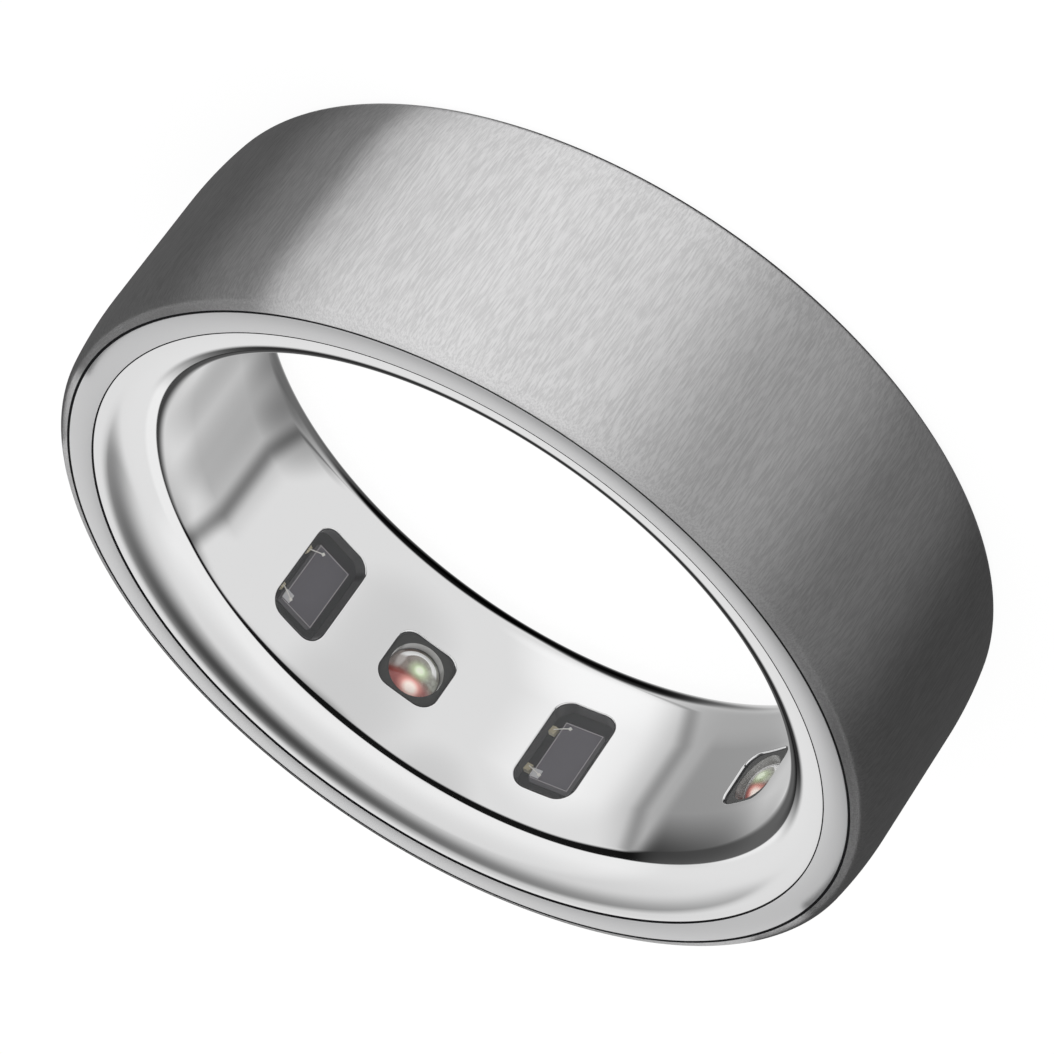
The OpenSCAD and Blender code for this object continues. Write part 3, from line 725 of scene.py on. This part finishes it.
liner = Shape()
runs = [bore_run, back_run, bevel, mirrored(bevel), *flange, *(mirrored(f) for f in flange)]
spin(liner, runs, skip=in_patch)
for angle, length, corner_r in windows:
    b = WINDOW_BEVEL
    patch(liner, bore_run, angle, length, (WINDOW_W + 2 * b, length + 2 * b, corner_r + b), crown_at)
    patch(liner, back_run, angle, length, (WINDOW_W, length, corner_r), tube_at(LINER_OUT_R))
    liner.place = window_place(angle)
    rings = []
    for i in range(BEVEL_STEPS + 1):
        phi = math.radians(90 / BEVEL_STEPS * i)
        c, s = math.cos(phi), math.sin(phi)
        ring = []
        for y, z, ny, nz in round_box(WINDOW_W + 2 * b, length + 2 * b, corner_r + b, -b * s):
            (x, y, z), n = on_surface(crown_at, y, z)
            ring.append(((x + b * (1 - c), y, z), c * Vector(n) + s * Vector((0, -ny, -nz))))
        rings.append(ring)
    inner = round_box(WINDOW_W, length, corner_r)
    sides = [(0.0, -ny, -nz) for _, _, ny, nz in inner]
    rings.append([(p, side) for (p, _), side in zip(rings[-1], sides)])
    back = [on_surface(tube_at(LINER_OUT_R), y, z)[0] for y, z, _, _ in inner]
    rings.append(list(zip(back, sides)))
    for i, (a, c) in enumerate(zip(rings, rings[1:])):
        if i == BEVEL_STEPS:  # the same points twice, with the bevel's normals and with the side's
            continue
        for k in range(len(a)):
            j = (k + 1) % len(a)
            liner.face(a[k], a[j], c[j], c[k])
    liner.place = Matrix.Identity(4)
liner.make("liner", MAT["liner"], "liner_titanium", "inner_shell")

# ---- edge rings, seams and adhesive at both ends ----
edge_profile = [
    *arc(RING_IN_R + EDGE_R, EDGE_R, EDGE_R, 180, 270, 4),
    *arc(RING_OUT_R - EDGE_R, EDGE_R, EDGE_R, -90, 0, 4),
    (RING_OUT_R, EDGE_T),
    (RING_IN_R, EDGE_T),
]
bead_profile = [
    (RING_OUT_R, SEAM_DEPTH),
    (seam_r, SEAM_DEPTH),
    (seam_r, EDGE_R),
    (SHELL_IN_R, EDGE_R),
    (SHELL_IN_R, CAVITY_Z),
    (FLANGE_R, CAVITY_Z),
    (FLANGE_R, FLANGE_Z),
    (RING_OUT_R, FLANGE_Z),
]
glue_profile = [
    (LIP_R, SEAM_DEPTH),
    (RING_IN_R, SEAM_DEPTH),
    (RING_IN_R, EDGE_T),
    (RING_OUT_R, EDGE_T),
    (RING_OUT_R, FLANGE_Z),
    (LIP_R, FLANGE_Z),
]
for end in ("lower", "upper"):
    for name, profile, key, slot_name in (
        ("edge_ring", edge_profile, "edge", "edge_titanium"),
        ("seam_bead", bead_profile, "seam", "seam_adhesive"),
        ("ring_glue", glue_profile, "seam", "seam_adhesive"),
    ):
        heights = [(p[0], 0, p[1] if end == "lower" else RING_W - p[1]) for p in profile]
        ring = lathe(heights, (0, 0, 1), STEPS)
        make(ring, f"{end}_{name}_look", MAT[key], slot_name, f"{end}_{name}")

# ---- photodiode windows ----
for i, angle in PHOTOS.items():
    place = window_place(angle)
    w, h, r = WINDOW_W - 2 * SEAL_T, PHOTO_L - 2 * SEAL_T, PHOTO_CORNER - SEAL_T
    pane = Shape(place)
    outline = round_box(w, h, r)
    front = [on_surface(crown_at, y, z)[0] for y, z, _, _ in outline]
    back = [(BORE_R + PANE_T, y, z) for y, z, _, _ in outline]
    cap(pane, outline, lambda y, z: on_surface(crown_at, y, z), w, h, r)
    cap(pane, outline, lambda y, z: ((BORE_R + PANE_T, y, z), (1, 0, 0)), w, h, r, 0.5)
    for k, (_, _, ny, nz) in enumerate(outline):
        j = (k + 1) % len(outline)
        n, m = (0, ny, nz), (0, outline[j][2], outline[j][3])
        pane.face((front[k], n), (front[j], m), (back[j], m), (back[k], n))
    pane.make(f"pane_{i}", MAT["pane"], "pane_resin", f"photodiode_pane_{i}")

    die = bmesh.new()
    block(die, (DIE_TOP_R, CARRIER_R), DIE_Y, DIE_Z)
    make(die, f"die_{i}", MAT["die"], "die_silicon", f"photodiode_die_{i}", place=place)
    lines = bmesh.new()
    for y, z in (
        ((LINE_Y[0], LINE_Y[0] + LINE_T), LINE_Z),
        ((LINE_Y[1] - LINE_T, LINE_Y[1]), LINE_Z),
        (LINE_Y, (LINE_Z[0], LINE_Z[0] + LINE_T)),
        (LINE_Y, (LINE_Z[1] - LINE_T, LINE_Z[1])),
    ):
        block(lines, LINE_X, y, z)
    make(lines, f"die_line_{i}", MAT["die_line"], "die_silicon", place=place)
    pad = bmesh.new()
    block(pad, (DIE_TOP_R - 0.015, DIE_TOP_R + 0.02), (-0.64, -0.34), (0.74, 1.04))
    make(pad, f"bond_pad_{i}", MAT["bond_pad"], "die_silicon", place=place)

    gold, wires = bmesh.new(), bmesh.new()
    for side in (-1, 1):
        block(gold, (PAD_R, CARRIER_R), (-0.95, -0.75), (side * 0.74 - 0.12, side * 0.74 + 0.12), 0.12)
        block(gold, (STUD_R, PAD_R), (-0.88, -0.77), (side * 0.76 - 0.09, side * 0.76 + 0.05), 0.5)
        path = []
        for s in range(9):
            u = s / 8
            lift = STUD_R - (STUD_R - DIE_TOP_R + 0.03) * min(1, 1.6 * u) ** 0.6
            path.append((lift, -0.82 + 0.45 * u, side * (0.72 + 0.2 * u)))
        wire(wires, path, WIRE_R)
        foot = (side * 0.92 - 0.045, side * 0.92 + 0.045)
        block(wires, (DIE_TOP_R - 0.04, DIE_TOP_R), (-0.415, -0.325), foot, 0.4)
    make(gold, f"gold_pads_{i}", MAT["gold"], "bond_gold", f"bond_wires_{i}", place=place)
    make(wires, f"wires_{i}", MAT["wire"], "bond_gold", place=place)


def seal(angle, length, corner_r, top):
    """The dark bead that fills the joint between a window and what sits in it."""
    shape = Shape(window_place(angle))
    outer = round_box(WINDOW_W, length, corner_r, -0.003)
    inner = round_box(WINDOW_W, length, corner_r, -SEAL_T)
    rings = []
    corners = ((outer, 1, LINER_OUT_R), (outer, 1, None), (inner, -1, None), (inner, -1, LINER_OUT_R))
    for outline, way, x in corners:
        ring = []
        for y, z, ny, nz in outline:
            front = on_surface(crown_at, y, z)[0][0] + top
            ring.append(((x or front, y, z), (0, ny * way, nz * way)))
        rings.append(ring)
    for n, (a, b) in enumerate(zip(rings, rings[1:] + rings[:1])):
        for k in range(len(a)):
            j = (k + 1) % len(a)
            if n % 2:
                normal = (-1, 0, 0) if n == 1 else (1, 0, 0)
                shape.face((a[k][0], normal), (a[j][0], normal), (b[j][0], normal), (b[k][0], normal))
            else:
                shape.face(a[k], a[j], b[j], b[k])
    return shape


for i, angle in PHOTOS.items():
    seal(angle, PHOTO_L, PHOTO_CORNER, 0.03).make(f"pane_seal_{i}", MAT["seal"], "seam_adhesive")
for i, angle in LIGHTS.items():
    seal(angle, LIGHT_L, LIGHT_CORNER, 0.05).make(f"light_seal_{i}", MAT["seal"], "seam_adhesive")

# ---- light windows ----
ball = (LENS_R**2 + DOME_H**2) / (2 * DOME_H)
half = math.degrees(math.asin(LENS_R / ball))
for i, angle in LIGHTS.items():
    place = window_place(angle)
    foot = LENS_TOP + DOME_H
    back_x = foot + LENS_FOOT
    dome = []
    for s in range(DOME_STEPS + 1):
        a = math.radians(half * s / DOME_STEPS)
        dome.append((LENS_TOP + ball - ball * math.cos(a), ball * math.sin(a), 0))
    lens = lathe(dome + [(back_x, LENS_R, 0), (back_x, 0, 0)], (1, 0, 0), LENS_STEPS, False)
    make(lens, f"lens_{i}", MAT["lens"], "lens_silicone", f"led_lens_{i}", place=place)

    inner = [(x + CORE_DROP, y * CORE_SHARE, 0) for x, y, _ in dome]
    core_back = back_x - 0.01
    inner += [(core_back, LENS_R * CORE_SHARE, 0), (core_back, 0, 0)]
    core = lathe(inner, (1, 0, 0), LENS_STEPS, False)
    make(core, f"light_core_{i}", light_core(f"light_core_{i}", angle), "lens_silicone", place=place)

    cup_profile = [(BEZEL_R + CUP_DROP, CUP_R, 0), (foot, LENS_R + 0.004, 0), (foot, CUP_R, 0)]
    cup = lathe(cup_profile, (1, 0, 0), LENS_STEPS)
    make(cup, f"light_cup_{i}", MAT["cup"], "bezel_plastic", place=place)

    w, h, r = WINDOW_W - 2 * SEAL_T, LIGHT_L - 2 * SEAL_T, LIGHT_CORNER - SEAL_T
    bezel = rounded_frame(w, h, r, LENS_R + 0.02, BEZEL_R, back_x)
    make(bezel, f"bezel_{i}", MAT["bezel"], "bezel_plastic", f"led_bezel_{i}", place=place)

# ---- the CAD nodes that are shown as they are ----
CAD_LOOK = {
    "carrier": ("photodiode_carrier_1", "photodiode_carrier_2"),
    "package": ("led_package_1", "led_package_2"),
    "green": ("green_emitter_1", "green_emitter_2"),
    "red": ("red_emitter_1", "red_emitter_2"),
    "infrared": ("infrared_emitter_1", "infrared_emitter_2"),
    "barrier": ("light_barrier_1", "light_barrier_2", "light_barrier_3", "light_barrier_4"),
    "flex": ("flex_circuit",),
    "chip": (
        "main_chip",
        "front_end_chip",
        "power_chip",
        "memory_chip",
        "motion_chip",
        "temperature_sensor_1",
        "temperature_sensor_2",
    ),
    "can": ("crystal",),
    "capacitor": ("capacitors",),
    "copper": ("antenna", "charging_coil"),
    "foil": ("battery_cell",),
    "nickel": ("battery_tabs",),
    "board": ("battery_board",),
    "ferrite": ("ferrite_sleeve",),
    "potting": ("upper_potting", "lower_potting"),
}
for key, names in CAD_LOOK.items():
    for name in names:
        node = frame["nodes"][name]
        node.data.materials.clear()
        node.data.materials.append(MAT[key])
        node.visible_glossy = False


# ---- studio: floor, cards and lamps ----
def card(name, points, faces, material):
    """A piece of the studio."""
    mesh = bpy.data.meshes.new(name)
    mesh.from_pydata([Vector(p) * MM for p in points], [], faces)
    mesh.materials.append(material)
    piece = bpy.data.objects.new(name, mesh)
    bpy.context.scene.collection.objects.link(piece)
    return piece


FLOOR_HALF = 3000
FLOOR_Z = -0.02
mat, tree, out = new_material("floor_white")
path = add(tree, "ShaderNodeLightPath").outputs
seen = calc(tree, "MAXIMUM", path["Is Camera Ray"], path["Is Glossy Ray"])
seen = calc(tree, "MAXIMUM", seen, path["Is Transmission Ray"])
paper = add(tree, "ShaderNodeBsdfDiffuse", {"Color": grey(0.8)}).outputs[0]
shade = add(tree, "ShaderNodeBsdfDiffuse", {"Color": grey(0.1)}).outputs[0]
white = add(tree, "ShaderNodeEmission", {"Color": grey(1.0), "Strength": 0.93}).outputs[0]
lit = add(tree, "ShaderNodeAddShader", {0: shade, 1: white}).outputs[0]
floor_look = add(tree, "ShaderNodeMixShader", {0: seen, 1: paper, 2: lit})
tree.links.new(floor_look.outputs[0], out.inputs[0])
corners = [(x * FLOOR_HALF, y * FLOOR_HALF, FLOOR_Z) for x, y in ((-1, -1), (1, -1), (1, 1), (-1, 1))]
floor = card("floor", corners, [(0, 1, 2, 3)], mat)
floor.visible_glossy = False

# A grey card curved close round the brushed shell, from dark over bright to dark, with a collar that leans
# over the rim. Only light that leaves the shell beside it meets it, so it is clear to every ray that comes
# from farther away. Its turns and the collar's ends are counted in degrees from +X towards +Y, and its greys
# from -Y towards +X.
CARD_R = 13.1
CARD_Z = (-7.0, 8.15)
CARD_TURNS = range(-201, 22, 3)
COLLAR_R = 12.3
COLLAR_Z = 8.3
COLLAR_ENDS = (-186, 6)
CARD_REACH = 6.0 * MM
COLLAR_REACH = 1.1 * MM
CARD_GREYS = (
    (-117, 0.07),
    (-55.5, 0.07),
    (-34.2, 0.19),
    (-14.7, 0.42),
    (10, 0.88),
    (21.6, 0.95),
    (37, 0.88),
    (43.7, 0.72),
    (51.3, 0.25),
    (67.5, 0.12),
    (115, 0.09),
)
mat, tree, out = new_material("side_card")
place = add(tree, "ShaderNodeTexCoord").outputs["Object"]
x, y, z = add(tree, "ShaderNodeSeparateXYZ", {0: place}).outputs
turned = times(tree, calc(tree, "ARCTAN2", x, times(tree, y, -1.0)), 180 / math.pi)
first, last = CARD_GREYS[0][0], CARD_GREYS[-1][0]
share = add(tree, "ShaderNodeMapRange", {0: turned, 1: first, 2: last}).outputs[0]
grade = add(tree, "ShaderNodeValToRGB", {0: share})
grade.color_ramp.interpolation = "EASE"
for n, (angle, value) in enumerate(CARD_GREYS):
    spot = (angle - first) / (last - first)
    stop = grade.color_ramp.elements[n] if n < 2 else grade.color_ramp.elements.new(spot)
    stop.position = spot
    stop.color = grey(value)
glow = add(tree, "ShaderNodeEmission", {"Color": grade.outputs[0], "Strength": 1.0}).outputs[0]
clear = add(tree, "ShaderNodeBsdfTransparent", {"Color": grey(1.0)}).outputs[0]
reach = ramp(tree, z, 8.05 * MM, 8.1 * MM, CARD_REACH, COLLAR_REACH)
far = calc(tree, "GREATER_THAN", add(tree, "ShaderNodeLightPath").outputs["Ray Length"], reach)
card_look = add(tree, "ShaderNodeMixShader", {0: far, 1: glow, 2: clear})
tree.links.new(card_look.outputs[0], out.inputs[0])
points, faces = [], []
for n, a in enumerate(CARD_TURNS):
    c, s = math.cos(math.radians(a)), math.sin(math.radians(a))
    points += [(CARD_R * c, CARD_R * s, height) for height in CARD_Z]
    points.append((COLLAR_R * c, COLLAR_R * s, COLLAR_Z))
    if n:
        faces.append((3 * n - 3, 3 * n, 3 * n + 1, 3 * n - 2))
    if n and COLLAR_ENDS[0] < a < COLLAR_ENDS[1]:
        faces.append((3 * n - 2, 3 * n + 1, 3 * n + 2, 3 * n - 1))
side = card("side_card", points, faces, mat)
for kind in ("camera", "diffuse", "transmission", "volume_scatter", "shadow"):
    setattr(side, f"visible_{kind}", False)

# The world: white to the eye and through glass. In metal it is a light tent with a grey back, two dark
# edges at its sides, a dark opening under the back and another above it. Everything in it goes by the
# direction of a ray. Left is -X, right is +X, and the back is +Y.
world = bpy.data.worlds.new("studio")
bpy.context.scene.world = world
world.use_nodes = True
tree = world.node_tree
tree.nodes.clear()
out = add(tree, "ShaderNodeOutputWorld")
way = add(tree, "ShaderNodeTexCoord").outputs["Generated"]
x, y, z = add(tree, "ShaderNodeSeparateXYZ", {0: way}).outputs
flat_r = calc(tree, "MAXIMUM", hypot(tree, x, y), 0.001)
depth = calc(tree, "DIVIDE", y, flat_r)
turned = calc(tree, "DIVIDE", x, flat_r)
right = ramp(tree, x, -0.01, 0.01)
left = minus(tree, 1.0, right)
leftward = ramp(tree, turned, 0.3, -0.6)
rear = ramp(tree, depth, 0.0, 0.3)
rear_right = times(tree, rear, minus(tree, 1.0, leftward))
rear_left = times(tree, rear, leftward)

# The tent's upper and lower part meet at a horizon that rises to the right and to the front.
horizon = plus(tree, times(tree, turned, 0.139), -0.082)
horizon = minus(tree, horizon, times(tree, calc(tree, "MINIMUM", depth, 0.0), 0.15))
below = ramp(tree, minus(tree, z, horizon), 0.015, -0.015)
top = ramp(tree, z, 0.3, 1.0, 0.943, 0.775)
low = ramp(tree, depth, -0.05, 0.025, 0.813, 0.766)
level = plus(tree, times(tree, top, minus(tree, 1.0, below)), times(tree, low, below))


def toward(azimuth, elevation, inner, outer, level):
    """level inside a cone about a direction, 1 outside it, for angles in degrees."""
    a, e = math.radians(azimuth), math.radians(elevation)
    axis = (math.cos(e) * math.cos(a), math.cos(e) * math.sin(a), math.sin(e))
    dot = add(tree, "ShaderNodeVectorMath", {0: way, 1: axis}, operation="DOT_PRODUCT").outputs["Value"]
    return ramp(tree, dot, math.cos(math.radians(outer)), math.cos(math.radians(inner)), 1.0, level)


def dark_edge(centre, half_width, level):
    """A dark upright edge of the tent, at an angle behind the ring's side. It fades out towards the floor."""
    angle = times(tree, calc(tree, "ARCTAN2", y, apart(tree, x)), 180 / math.pi)
    cut = ramp(tree, apart(tree, angle, centre), 0.0, half_width, 1.0 - level, 0.0)
    return minus(tree, 1.0, times(tree, cut, below, ramp(tree, z, -0.95, -0.8)))


right_edge = plus(tree, times(tree, dark_edge(3.5, 5.5, 0.62), right), left)
left_edge = plus(tree, times(tree, dark_edge(1.5, 7.0, 0.4), left), right)

# The opening under the back: dark from the horizon down to a start that lies lower at the left and the back.
start = minus(tree, -0.15, times(tree, ramp(tree, turned, 0.35, -0.35), 0.105))
start = minus(tree, start, times(tree, ramp(tree, depth, -0.5, 0.05), 0.07))
start = minus(tree, start, times(tree, rear_right, 0.23))
spread = plus(tree, times(tree, rear_right, 0.09), times(tree, rear_left, 0.06))
dim = plus(tree, times(tree, rear_right, 0.09), times(tree, ramp(tree, depth, 0.1, 0.6), 0.06), 0.01)
band_low = minus(tree, minus(tree, start, spread), 0.03)
band = ramp(tree, z, band_low, plus(tree, start, spread, 0.05), 1.0, dim)
band = minus(tree, 1.0, times(tree, minus(tree, 1.0, band), below))

# A dark line along the back's horizon, the dark lid high above it, and the grey of the back above the line.
side_turn = apart(tree, turned)
rim_line = ramp(tree, apart(tree, z, -0.01), 0.06, 0.22, 0.97, 0.0)
rim_line = times(tree, rim_line, ramp(tree, side_turn, 0.12, 0.42, 1.0, 0.0), ramp(tree, depth, 0.3, 0.8))
lid_x = times(tree, plus(tree, x, 0.13), 1 / 0.29)
lid_y = times(tree, minus(tree, y, 0.52), 1 / 0.34)
lid = ramp(tree, plus(tree, z, times(tree, side_turn, 1.1)), 0.52, 0.77)
lid = times(tree, lid, ramp(tree, hypot(tree, lid_x, lid_y), 0.1, 2.3, 0.9, 0.0), ramp(tree, z, 0.44, 0.56))
back_dim = times(tree, ramp(tree, depth, 0.0, 0.4), 0.11, ramp(tree, z, 0.02, 0.12))

# The spots are given as azimuth, elevation, where each is full, where it is gone, and its level.
level = times(
    tree,
    level,
    band,
    minus(tree, 1.0, back_dim),
    minus(tree, 1.0, rim_line),
    minus(tree, 1.0, lid),
    right_edge,
    left_edge,
    toward(120, -78, 11.5, 20, 0.01),
    toward(123, -53, 7.5, 32, 0.2),
    toward(72, -64, 5, 27, 0.01),
    toward(36, -67, 6, 17, 0.06),
    toward(27, -27, 0, 37, 0.56),
    toward(74, -51, 1, 11, 1.6),
    toward(155, -38, 0, 18, 0.53),
    toward(-185, -42, 0, 20, 0.47),
    toward(-32, -45, 0, 30, 1.3),
    toward(-105, -18, 0, 26, 0.84),
    toward(-69, -7, 2, 20, 0.82),
    toward(196, 36, 4, 30, 0.94),
)
DIFFUSE_LEVEL = 0.75
path = add(tree, "ShaderNodeLightPath").outputs
glossy = path["Is Glossy Ray"]
shine = plus(tree, times(tree, level, glossy), times(tree, minus(tree, 1.0, glossy), DIFFUSE_LEVEL))
white = calc(tree, "MAXIMUM", path["Is Camera Ray"], path["Is Transmission Ray"])
strength = calc(tree, "MAXIMUM", shine, white)
background = add(tree, "ShaderNodeBackground", {"Color": grey(1.0), "Strength": strength})
tree.links.new(background.outputs[0], out.inputs[0])


def lamp(name, position, size, energy):
    """A soft square lamp that looks at the ring."""
    data = bpy.data.lights.new(name, "AREA")
    data.size = size
    data.energy = energy
    light = bpy.data.objects.new(name, data)
    light.location = position
    light.rotation_euler = (Vector((0, 0, 0.004)) - Vector(position)).to_track_quat("-Z", "Y").to_euler()
    light.visible_glossy = False
    bpy.context.scene.collection.objects.link(light)


lamp("key_lamp", (-0.12, -0.16, 0.34), 0.3, 0.35)
lamp("fill_lamp", (0.22, -0.1, 0.28), 0.3, 0.15)

# ---- camera, with the focal length as it was fitted in the photo's pixels ----
PHOTO_PX = 1054
FOCAL_PX = 5473.08
SENSOR_W = 36.0
camera_data = bpy.data.cameras.new("camera")
camera_data.sensor_fit = "HORIZONTAL"
camera_data.sensor_width = SENSOR_W
camera_data.lens = FOCAL_PX / PHOTO_PX * SENSOR_W
camera_data.clip_start = 0.01
camera = bpy.data.objects.new("camera", camera_data)
right = Vector((-0.80888, -0.31082, -0.49910)).normalized()
up = Vector((0.58747, -0.39233, -0.70778))
back = right.cross(up).normalized()
up = back.cross(right)
matrix = Matrix((right, up, back)).transposed().to_4x4()
matrix.translation = Vector((3.71151, -131.40628, 79.48032)) * MM
camera.matrix_world = matrix
bpy.context.scene.collection.objects.link(camera)
bpy.context.scene.camera = camera
bpy.context.scene.view_settings.view_transform = "Standard"
